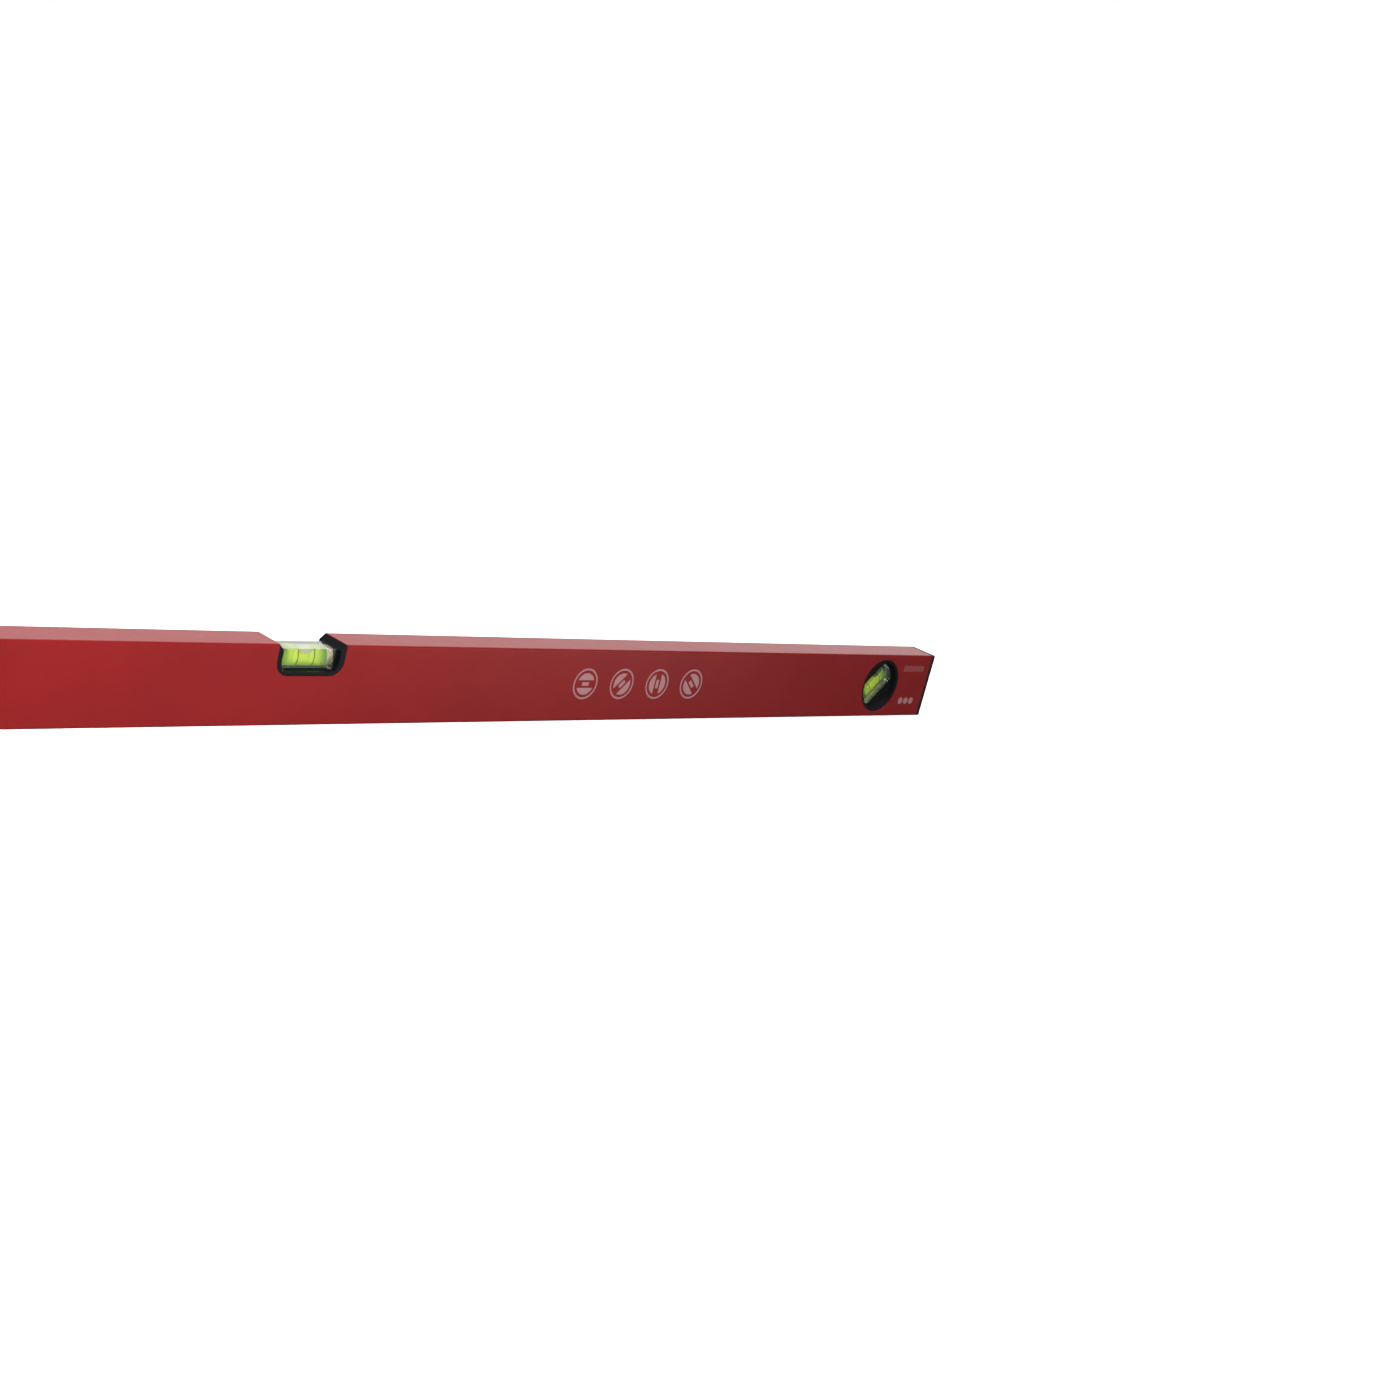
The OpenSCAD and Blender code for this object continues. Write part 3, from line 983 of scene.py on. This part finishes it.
@dataclass
class Vial:
    """A clear block with a bore of liquid, a plug, two marking rings and a bubble.

    Its own X runs along the bore and its own Z points to the side where the bubble rides.
    """

    seat: Seat
    shape: Shape
    acrylic: ClearAcrylic
    liquid_dye: VialLiquid
    block_half_l: float
    block_low: float
    block_high: float
    block_half_y: float
    bore_half_l: float
    plug_from: float
    plug_to: float
    bubble_at: float
    bore_r: float = 5 * MM
    plug_r: float = 5.15 * MM
    ring_r: float = 5.13 * MM
    ring_wall: float = 0.12 * MM
    ring_half_w: float = 0.25 * MM
    ring_at: float = 5.8 * MM
    bubble_half_l: float = 4.9 * MM
    bubble_r: float = 5.03 * MM
    bubble_low: float = 2.3 * MM
    bubble_wrap: float = 0.9
    round_r: float = 17.6 * MM
    block_edge: float = 0.6 * MM
    block_smooth: float = 50.0
    bubble_smooth: float = 80.0
    column_ease: float = 0.5 * MM
    column_inner: float = 0.15 * MM
    plug_ease: float = 0.35 * MM
    plug_gap: float = 0.12 * MM
    dish_rim: float = 0.62
    dish_floor: float = 0.52

    def placed(self, bm: bmesh.types.BMesh) -> bmesh.types.BMesh:
        """Turns and moves a shape from the vial's own axes to the frame's.

        Args:
            bm: The shape, which is changed.

        Returns:
            The same shape.
        """
        turn = Matrix.Rotation(-math.radians(self.seat.tilt), 4, "Y")
        bmesh.ops.transform(bm, matrix=Matrix.Translation(self.seat.centre) @ turn, verts=bm.verts)
        return bm

    @property
    def stem(self) -> str:
        """The start of its CAD nodes' names."""
        return f"{self.seat.name}_vial"

    def block_outline(self, steps: int = 60) -> list[tuple[float, float]]:
        """The block's outline in its own X and Z.

        Args:
            steps: How many sides each rounded end has.

        Returns:
            The corners, in metres.
        """
        low, high, half = self.block_low, self.block_high, self.block_half_l
        if self.shape is Shape.BAR:
            return [(-half, low), (half, low), (half, high), (-half, high)]
        reach = math.asin(high / self.round_r)
        turn = [reach - 2 * reach * k / steps for k in range(steps + 1)]
        right = [(self.round_r * math.cos(a), self.round_r * math.sin(a)) for a in turn]
        return right + [(-x, -z) for x, z in right]

    def block(self) -> None:
        """Makes the clear block round the bore."""
        bm = extruded(self.block_outline(), -self.block_half_y, self.block_half_y, self.block_edge)
        mesh = to_mesh(self.placed(bm), self.block_smooth)
        keep_flats_flat(add_piece(f"{self.stem}_block_clear", mesh, self.acrylic, LEVEL, [f"{self.stem}_block"]))

    def liquid(self) -> None:
        """Makes the liquid as one column with rounded ends."""
        half, r, ease, inner = self.bore_half_l, self.bore_r, self.column_ease, self.column_inner
        profile = [(-half, 0.0), (-half, r - ease), (-half + inner, r - inner), (-half + ease, r)]
        profile += [(-x, radius) for x, radius in reversed(profile)]
        mesh = to_mesh(self.placed(turned(profile, 72)))
        add_piece(f"{self.stem}_liquid", mesh, self.liquid_dye, LEVEL, [f"{self.stem}_fluid"])

    def plug(self) -> None:
        """Makes the plug, with a rounded nose and a shallow dish in its outer end."""
        a, b = self.plug_from, self.plug_to
        way = 1 if b > a else -1
        r, ease, gap = self.plug_r, self.plug_ease * way, self.plug_gap * way
        profile = [
            (a + gap, 0.0),
            (a + gap, r - abs(ease)),
            (a + gap + ease * 0.3, r - abs(ease) * 0.3),
            (a + gap + ease, r),
            (b - ease - gap, r),
            (b - gap, r - abs(ease)),
            (b - gap, r * self.dish_rim),
            (b - gap - 2 * ease, r * self.dish_floor),
            (b - gap - 2 * ease, 0.0),
        ]
        mesh = to_mesh(self.placed(turned(profile, 56)))
        add_piece(f"{self.stem}_plug_moulding", mesh, PLUG, LEVEL, [f"{self.stem}_plug"])

    def rings(self) -> None:
        """Makes the two marking rings, spaced evenly about the middle of the bore."""
        sizes = {"Rings": 2, "Spacing": 2 * self.ring_at, "Radius": self.ring_r}
        sizes |= {"Wall": self.ring_wall, "Width": 2 * self.ring_half_w}
        g = GeometryTree(f"{self.stem}_rings", sizes)
        ring = g.hoop(72, g.size("Radius"), g.size("Wall"), g.size("Width"))
        start = g.maths("MULTIPLY", g.size("Spacing"), -0.5)
        turn = (0.0, math.pi / 2, 0.0)
        made = g.mesh(g.spread(g.row(g.size("Rings"), g.size("Spacing"), start), ring, turn), RING)
        bm = bmesh.new()
        bm.from_mesh(made)
        bmesh.ops.recalc_face_normals(bm, faces=bm.faces)
        mesh = to_mesh(self.placed(bm))
        add_piece(f"{self.stem}_marking_rings", mesh, RING, LEVEL, [f"{self.stem}_rings"])

    def bubble(self) -> None:
        """Makes the bubble as a long drop that lies against the upper side of the bore."""
        bm = bmesh.new()
        bmesh.ops.create_uvsphere(bm, u_segments=96, v_segments=40, radius=1.0)
        bmesh.ops.rotate(bm, cent=(0, 0, 0), matrix=Matrix.Rotation(math.pi / 2, 3, "Y"), verts=bm.verts)
        reach = self.bubble_wrap * math.acos(self.bubble_low / self.bubble_r)
        deep = self.bubble_r - self.bubble_low
        for v in bm.verts:
            turn = math.atan2(v.co.y, v.co.z)
            full = max(0.0, 1 - abs(v.co.x) ** 3) ** (1 / 3)
            side = math.sin(turn)
            angle = side * reach * full
            drop = deep * full * (1 - side**2) if math.cos(turn) < 0 else 0.0
            x = self.bubble_at + v.co.x * self.bubble_half_l
            v.co = (x, self.bubble_r * math.sin(angle), self.bubble_r * math.cos(angle) - drop)
        mesh = to_mesh(self.placed(bm), self.bubble_smooth)
        add_piece(f"{self.stem}_air_bubble", mesh, BUBBLE, f"{self.seat.name}_bubble", [f"{self.stem}_bubble"])

    def build(self) -> None:
        """Makes the whole vial, with its bubble on its own body."""
        self.block()
        self.liquid()
        self.plug()
        self.rings()
        self.bubble()


@dataclass
class PrintedMarks:
    """The pale marks printed on the front face: four direction dials, a row of ticks and three dots."""

    face_y: float
    ink: float = 0.05 * MM
    dial_x: float = 225 * MM
    dial_pitch: float = 34 * MM
    dial_z: float = 26 * MM
    dial_r: float = 10.2 * MM
    stroke: float = 1.4 * MM
    heart_r: float = 7.6 * MM
    slot_w: float = 5.4 * MM
    dot_pitch: float = 6.6 * MM
    dot_r: float = 2.7 * MM
    dots_at: tuple[float, float] = (570.5 * MM, 12.5 * MM)
    ticks: int = 13
    tick_pitch: float = 1.95 * MM
    tick_long: float = 4.8 * MM
    tick_wide: float = 0.9 * MM
    ticks_at: tuple[float, float] = (565 * MM, 39 * MM)

    def bar(self, g: GeometryTree, length: Any, width: Any, thick: Any) -> bpy.types.NodeSocket:
        """A flat bar in the XY plane.

        Args:
            g: The tree.
            length: Its size along X.
            width: Its size along Y.
            thick: Its size along Z.

        Returns:
            The bar's geometry.
        """
        size = g.node("ShaderNodeCombineXYZ", {}, {"X": length, "Y": width, "Z": thick}).outputs[0]
        return g.node("GeometryNodeMeshCube", {}, {"Size": size}).outputs["Mesh"]

    def slotted_disc(self, g: GeometryTree) -> bpy.types.NodeSocket:
        """A disc with a slot across it, which stands for a vial, and a bubble in the slot.

        Args:
            g: The tree.

        Returns:
            The disc's geometry.
        """
        disc_values = {"Vertices": 56, "Radius": g.size("Heart"), "Depth": g.size("Ink")}
        disc = g.node("GeometryNodeMeshCylinder", {"fill_type": "NGON"}, disc_values).outputs["Mesh"]
        across = g.maths("MULTIPLY", g.size("Heart"), 3.0)
        cutter = self.bar(g, across, g.size("Slot"), g.maths("MULTIPLY", g.size("Ink"), 3.0))
        cut = g.node("GeometryNodeMeshBoolean", {"operation": "DIFFERENCE"}, {"Mesh 1": disc, "Mesh 2": cutter})
        short, thin = g.maths("MULTIPLY", g.size("Heart"), 0.8), g.maths("MULTIPLY", g.size("Slot"), 0.45)
        bubble = self.bar(g, short, thin, g.size("Ink"))
        return g.join(cut.outputs["Mesh"], bubble)

    def on_face(self, mesh: bpy.types.Mesh, x: float, z: float) -> bpy.types.Mesh:
        """Stands a flat mark up, with its outer side on the level's front face.

        Args:
            mesh: The mark, drawn in the XY plane about the origin.
            x: Where its origin goes along the level.
            z: Where its origin goes above the base.

        Returns:
            The same mesh, in place.
        """
        up = Matrix.Rotation(math.pi / 2, 4, "X")
        mesh.transform(Matrix.Translation((x, self.face_y + self.ink / 2, z)) @ up)
        bm = bmesh.new()
        bm.from_mesh(mesh)
        bmesh.ops.recalc_face_normals(bm, faces=bm.faces)
        bm.to_mesh(mesh)
        bm.free()
        return mesh

    def dials(self) -> None:
        """Prints four dials, each with its vial turned 45 degrees further than the last."""
        sizes = {"Dials": 4, "Pitch": self.dial_pitch, "Radius": self.dial_r, "Stroke": self.stroke}
        sizes |= {"Heart": self.heart_r, "Slot": self.slot_w, "Ink": self.ink}
        g = GeometryTree("direction_dials", sizes)
        line = g.row(g.size("Dials"), g.size("Pitch"))
        rings = g.spread(line, g.hoop(64, g.size("Radius"), g.size("Stroke"), g.size("Ink")))
        index = g.node("GeometryNodeInputIndex", {}, {}).outputs[0]
        turn = g.node("ShaderNodeCombineXYZ", {}, {"Z": g.maths("MULTIPLY", index, math.pi / 4)}).outputs[0]
        hearts = g.spread(line, self.slotted_disc(g), turn)
        mesh = g.mesh(g.join(rings, hearts), INK)
        add_piece("direction_dials", self.on_face(mesh, self.dial_x, self.dial_z), INK, LEVEL)

    def dots(self) -> None:
        """Prints three round dots in a row beside the angle vial."""
        sizes = {"Dots": 3, "Pitch": self.dot_pitch, "Radius": self.dot_r, "Ink": self.ink}
        g = GeometryTree("angle_dots", sizes)
        values = {"Vertices": 40, "Radius": g.size("Radius"), "Depth": g.size("Ink")}
        dot = g.node("GeometryNodeMeshCylinder", {"fill_type": "NGON"}, values).outputs["Mesh"]
        spread = g.spread(g.row(g.size("Dots"), g.size("Pitch")), dot)
        add_piece("angle_dots", self.on_face(g.mesh(spread, INK), *self.dots_at), INK, LEVEL)

    def tick_row(self) -> None:
        """Prints a row of faint upright ticks near the right end."""
        sizes = {"Bars": self.ticks, "Pitch": self.tick_pitch, "Long": self.tick_long}
        g = GeometryTree("tick_row", sizes | {"Wide": self.tick_wide, "Ink": self.ink})
        bar = self.bar(g, g.size("Wide"), g.size("Long"), g.size("Ink"))
        bars = g.spread(g.row(g.size("Bars"), g.size("Pitch")), bar)
        add_piece("tick_row", self.on_face(g.mesh(bars, FAINT_INK), *self.ticks_at), FAINT_INK, LEVEL)

    def build(self) -> None:
        """Prints every mark."""
        self.dials()
        self.tick_row()
        self.dots()


class PanelShape(Enum):
    """The two outlines of a flat light."""

    DISK = "DISK"
    RECTANGLE = "RECTANGLE"


@dataclass(frozen=True)
class Panel:
    """A flat light that isn't seen itself, which can be left out of the gloss or kept to it."""

    name: str
    place: Point
    aim: Point
    shape: PanelShape
    width: float
    height: float
    energy: float
    lights_surfaces: bool = True
    shows_in_gloss: bool = False


KEY = Panel(
    name="key",
    place=(-0.3, -0.5, 0.4),
    aim=(0.0, 0.0, 0.02),
    shape=PanelShape.DISK,
    width=0.35,
    height=0.35,
    energy=8.2,
)
GLOSS_CARD = Panel(
    name="gloss_card",
    place=(0.52, -0.45, 0.024),
    aim=(0.16, 0.0, 0.024),
    shape=PanelShape.RECTANGLE,
    width=0.36,
    height=0.04,
    energy=1.5,
    lights_surfaces=False,
    shows_in_gloss=True,
)
REAR_FILL = Panel(
    name="rear_fill",
    place=(0.1, 1.5, 0.75),
    aim=(0.0, 0.0, 0.02),
    shape=PanelShape.RECTANGLE,
    width=1.6,
    height=0.5,
    energy=34.0,
)


@dataclass
class Studio:
    """A pale floor, soft lights and the camera."""

    camera_at: Point = (-0.7297, -0.9544, 0.3610)
    right: Point = (0.68729, -0.68399, 0.24452)
    up: Point = (0.00167, 0.33811, 0.94111)
    lens: float = 54.2
    sensor: float = 36.0
    near: float = 0.01
    far: float = 200.0
    floor_half: float = 40.0
    fill: float = 0.2
    gloss_dim: float = 0.17
    glow: float = 1.6
    glow_way: Point = (0.7, 0.7, 0.14)
    glow_from: float = 0.5
    glow_to: float = 0.85
    floor_pale: Colour = (0.86, 0.86, 0.86)
    floor_in_gloss: Colour = (0.12, 0.12, 0.12)
    sun_at: Point = (0.0, -1.0, 3.0)
    sun_energy: float = 3.6
    sun_spread: float = 50.0

    def floor(self) -> None:
        """Lays a plain pale floor under the level, which is dimmer in the level's own gloss."""
        bm = bmesh.new()
        bmesh.ops.create_grid(bm, x_segments=1, y_segments=1, size=self.floor_half)
        mesh = bpy.data.meshes.new("studio_floor")
        bm.to_mesh(mesh)
        bm.free()
        plane = bpy.data.objects.new("studio_floor", mesh)
        bpy.context.scene.collection.objects.link(plane)
        s = Shader("pale_floor")
        in_gloss = s.node("ShaderNodeLightPath", {}, {}).out("Is Glossy Ray")
        s.set(
            Base_Color=s.mix(in_gloss, self.floor_pale, self.floor_in_gloss),
            Roughness=0.9,
            Specular_IOR_Level=0.1,
        )
        mesh.materials.append(s.material)

    def camera(self) -> None:
        """Sets the camera from its place and its right and up directions."""
        data = bpy.data.cameras.new("camera")
        data.lens = self.lens
        data.sensor_width = self.sensor
        data.clip_start, data.clip_end = self.near, self.far
        right, up = Vector(self.right), Vector(self.up)
        back = right.cross(up)
        eye = bpy.data.objects.new("camera", data)
        turn = Matrix((right, up, back)).transposed().to_4x4()
        eye.matrix_world = Matrix.Translation(self.camera_at) @ turn
        bpy.context.scene.collection.objects.link(eye)
        bpy.context.scene.camera = eye

    def light(self, name: str, kind: str, place: Point, aim: Point) -> bpy.types.Object:
        """Adds a light that points at a spot and isn't seen itself.

        Args:
            name: The light's name.
            kind: SUN or AREA.
            place: Where it is.
            aim: The spot that it points at.

        Returns:
            The light, whose strength and size are still to be set.
        """
        data = bpy.data.lights.new(name, kind)
        lamp = bpy.data.objects.new(name, data)
        lamp.location = place
        lamp.rotation_mode = "QUATERNION"
        lamp.rotation_quaternion = (Vector(aim) - Vector(place)).to_track_quat("-Z", "Y")
        bpy.context.scene.collection.objects.link(lamp)
        lamp.visible_camera = False
        return lamp

    def panel(self, panel: Panel) -> None:
        """Adds a flat light.

        Args:
            panel: What it is like.
        """
        lamp = self.light(panel.name, "AREA", panel.place, panel.aim)
        lamp.data.shape = panel.shape.value
        lamp.data.size = panel.width
        if panel.shape is PanelShape.RECTANGLE:
            lamp.data.size_y = panel.height
        lamp.data.energy = panel.energy
        lamp.visible_glossy = panel.shows_in_gloss
        lamp.visible_diffuse = panel.lights_surfaces
        lamp.visible_transmission = panel.lights_surfaces

    def lights(self) -> None:
        """Adds a broad overhead light, a soft key from the front left, a low gloss card and a rear fill."""
        overhead = self.light("overhead", "SUN", self.sun_at, (0.0, 0.0, 0.0))
        overhead.data.energy = self.sun_energy
        overhead.data.angle = math.radians(self.sun_spread)
        for panel in (KEY, GLOSS_CARD, REAR_FILL):
            self.panel(panel)

    def world(self) -> None:
        """Makes the room white, with one large soft panel behind the level as its only bright gloss."""
        room = bpy.data.worlds.new("white_room")
        bpy.context.scene.world = room
        room.use_nodes = True
        net = Net(room.node_tree)
        way = net.node("ShaderNodeTexCoord", {}, {}).out("Generated")
        toward = net.node("ShaderNodeVectorMath", {"operation": "DOT_PRODUCT"}, {0: way, 1: self.glow_way})
        panel = toward.out("Value").ramp(self.glow_from, self.glow_to) * (self.glow - self.gloss_dim) + self.gloss_dim
        path = net.node("ShaderNodeLightPath", {}, {})
        strength = 1.0 - path.out("Is Diffuse Ray") * (1.0 - self.fill) - path.out("Is Glossy Ray") * (1.0 - panel)
        backdrop = net.node("ShaderNodeBackground", {}, {"Color": (1.0, 1.0, 1.0, 1.0), "Strength": strength})
        net.node("ShaderNodeOutputWorld", {}, {"Surface": backdrop.out("Background")})

    def build(self) -> None:
        """Sets up the whole studio."""
        bpy.context.scene.view_settings.view_transform = "Standard"
        self.floor()
        self.world()
        self.lights()
        self.camera()


# The level ------------------------------------------------------------------------------------------------


def centre_of(node: str) -> Vector:
    """The middle of a CAD node's box."""
    low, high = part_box(node)
    return (low + high) / 2


def centre_vial() -> Vial:
    """The centre vial.

    Returns:
        The vial, with its sizes read from the frame.
    """
    low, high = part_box("centre_vial_block")
    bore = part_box("centre_vial_fluid")
    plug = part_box("centre_vial_plug")
    bore_z = centre_of("centre_vial_rings").z
    seat = Seat("centre", (0.0, 0.0, bore_z), 0.0)
    bore_half_l = bore[1].x
    return Vial(
        seat=seat,
        shape=Shape.BAR,
        acrylic=ClearAcrylic(
            seat,
            over_bore=(0.92, 0.96, 0.74),
            # Painted light above the bore; painted shade below it and past its ends.
            above=(0.95, 0.97, 0.88),
            painted_shade_below=(0.06, 0.2, 0.09),
            ends=(0.84, 0.8, 0.66),
            bore_half_l=bore_half_l,
            shade_from=4.2 * MM,
            shade_to=5.6 * MM,
        ),
        liquid_dye=VialLiquid(seat, bore_half_l),
        block_half_l=high.x,
        block_low=low.z - bore_z,
        block_high=high.z - bore_z,
        block_half_y=high.y,
        bore_half_l=bore_half_l,
        plug_from=plug[0].x,
        plug_to=plug[1].x,
        bubble_at=0.0,
    )


END_BORE_HALF_L = 12.5 * MM
END_BLOCK_HALF_L = 17.7 * MM
END_BLOCK_HALF_H = 9.8 * MM
END_PLUG_TO = -16.1 * MM
END_BUBBLE_AT = 7.15 * MM


def end_vial(name: str, tilt: float) -> Vial:
    """A vial in a round housing, with its place read from the frame.

    Args:
        name: The start of its nodes' names.
        tilt: The angle of its bore from the level's length, in degrees.

    Returns:
        The vial.
    """
    housing = centre_of(f"{name}_housing_front")
    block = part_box(f"{name}_vial_block")
    seat = Seat(name, (housing.x, 0.0, housing.z), tilt)
    return Vial(
        seat=seat,
        shape=Shape.CLIPPED,
        acrylic=ClearAcrylic(
            seat,
            # Painted shade: a darker tint over the bore, and painted shade above, below and past it.
            over_bore=(0.58, 0.64, 0.42),
            above=(0.3, 0.36, 0.2),
            painted_shade_below=(0.12, 0.095, 0.07),
            ends=(0.3, 0.4, 0.36),
            bore_half_l=END_BORE_HALF_L,
            shade_from=4.4 * MM,
            shade_to=8.4 * MM,
            rough=0.06,
        ),
        liquid_dye=VialLiquid(seat, END_BORE_HALF_L),
        block_half_l=END_BLOCK_HALF_L,
        block_low=-END_BLOCK_HALF_H,
        block_high=END_BLOCK_HALF_H,
        block_half_y=block[1].y,
        bore_half_l=END_BORE_HALF_L,
        plug_from=-END_BORE_HALF_L,
        plug_to=END_PLUG_TO,
        bubble_at=END_BUBBLE_AT,
    )


def main() -> None:
    """Builds the level, piece by piece, and its studio."""
    BoxSection().build()
    for side in Side:
        EndCap(side).build()
    for stem in ("centre_holder", "plumb_housing", "angle_housing"):
        MouldedPair(stem).build()
    centre_vial().build()
    end_vial("plumb", 90.0).build()
    end_vial("angle", 45.0).build()
    PrintedMarks(face_y=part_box("profile")[0].y).build()
    Studio().build()


if __name__ == "__main__":
    main()
